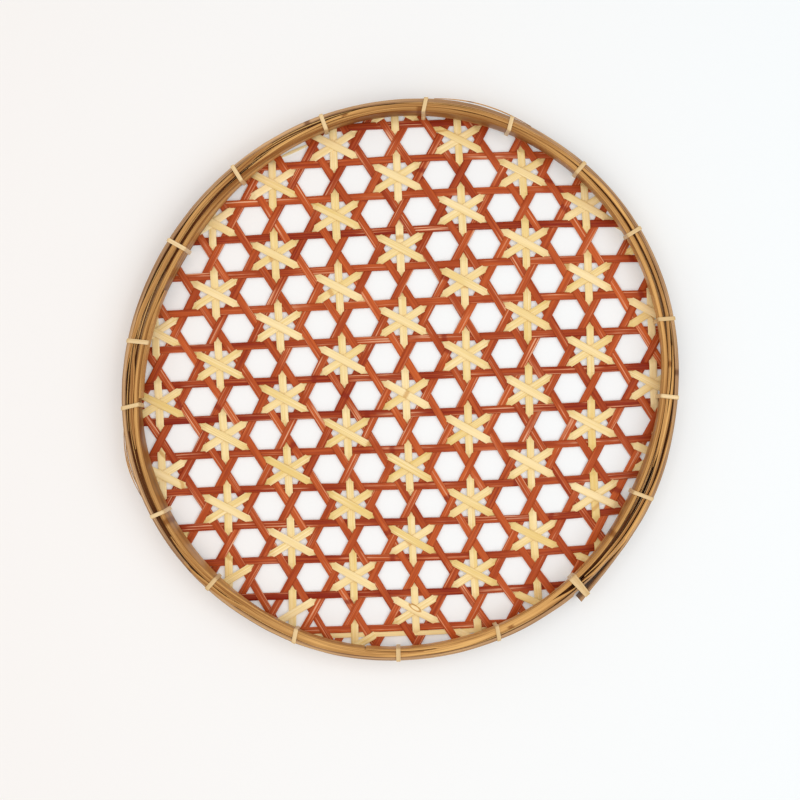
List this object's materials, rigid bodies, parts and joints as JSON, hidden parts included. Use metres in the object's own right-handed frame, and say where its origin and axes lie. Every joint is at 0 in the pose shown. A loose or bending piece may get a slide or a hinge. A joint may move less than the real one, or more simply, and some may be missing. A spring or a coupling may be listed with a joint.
{
  "type": "woven bamboo tray basket",
  "caption": "Round shallow bamboo basket with an open three-way weave, stained strips and natural strips crossing as stars, held between two bound hoops.",
  "frame": {"origin": "middle of the rim, on the surface that the back of the basket lies on", "axes": "+Z out of the opening, away from the wall or table; +X along the across strips; +Y towards the side that is up when it hangs"},
  "size_m": [0.3798, 0.382, 0.027],
  "materials": {
    "stained_bamboo": "satin, stained red-brown",
    "natural_bamboo": "satin, natural straw",
    "hoop_bamboo": "satin, aged tan",
    "tie_bamboo": "satin, pale tan"
  },
  "bodies": {
    "root": {"across_strip_01": "stained_bamboo", "across_strip_02": "stained_bamboo", "across_strip_03": "stained_bamboo", "across_strip_04": "stained_bamboo", "across_strip_05": "stained_bamboo", "across_strip_06": "stained_bamboo", "across_strip_07": "stained_bamboo", "across_strip_08": "stained_bamboo", "across_strip_09": "stained_bamboo", "across_strip_10": "stained_bamboo", "across_strip_11": "stained_bamboo", "across_strip_12": "stained_bamboo", "across_strip_13": "stained_bamboo", "across_strip_14": "stained_bamboo", "across_strip_15": "stained_bamboo", "binding_1": "tie_bamboo", "binding_2": "tie_bamboo", "binding_3": "tie_bamboo", "falling_strip_01": "stained_bamboo", "falling_strip_02": "stained_bamboo", "falling_strip_03": "stained_bamboo", "falling_strip_04": "stained_bamboo", "falling_strip_05": "stained_bamboo", "falling_strip_06": "stained_bamboo", "falling_strip_07": "stained_bamboo", "falling_strip_08": "stained_bamboo", "falling_strip_09": "stained_bamboo", "falling_strip_10": "stained_bamboo", "falling_strip_11": "stained_bamboo", "falling_strip_12": "stained_bamboo", "falling_strip_13": "stained_bamboo", "falling_strip_14": "stained_bamboo", "inner_hoop": "hoop_bamboo", "joint_tie": "tie_bamboo", "outer_hoop": "hoop_bamboo", "rising_strip_01": "stained_bamboo", "rising_strip_02": "stained_bamboo", "rising_strip_03": "stained_bamboo", "rising_strip_04": "stained_bamboo", "rising_strip_05": "stained_bamboo", "rising_strip_06": "stained_bamboo", "rising_strip_07": "stained_bamboo", "rising_strip_08": "stained_bamboo", "rising_strip_09": "stained_bamboo", "rising_strip_10": "stained_bamboo", "rising_strip_11": "stained_bamboo", "rising_strip_12": "stained_bamboo", "rising_strip_13": "stained_bamboo", "rising_strip_14": "stained_bamboo", "edge_strip": "natural_bamboo", "star_strips_01": "natural_bamboo", "star_strips_02": "natural_bamboo", "star_strips_03": "natural_bamboo", "star_strips_04": "natural_bamboo", "star_strips_05": "natural_bamboo", "star_strips_06": "natural_bamboo", "star_strips_07": "natural_bamboo", "star_strips_08": "natural_bamboo", "star_strips_09": "natural_bamboo", "star_strips_10": "natural_bamboo"}
  },
  "joints": []
}
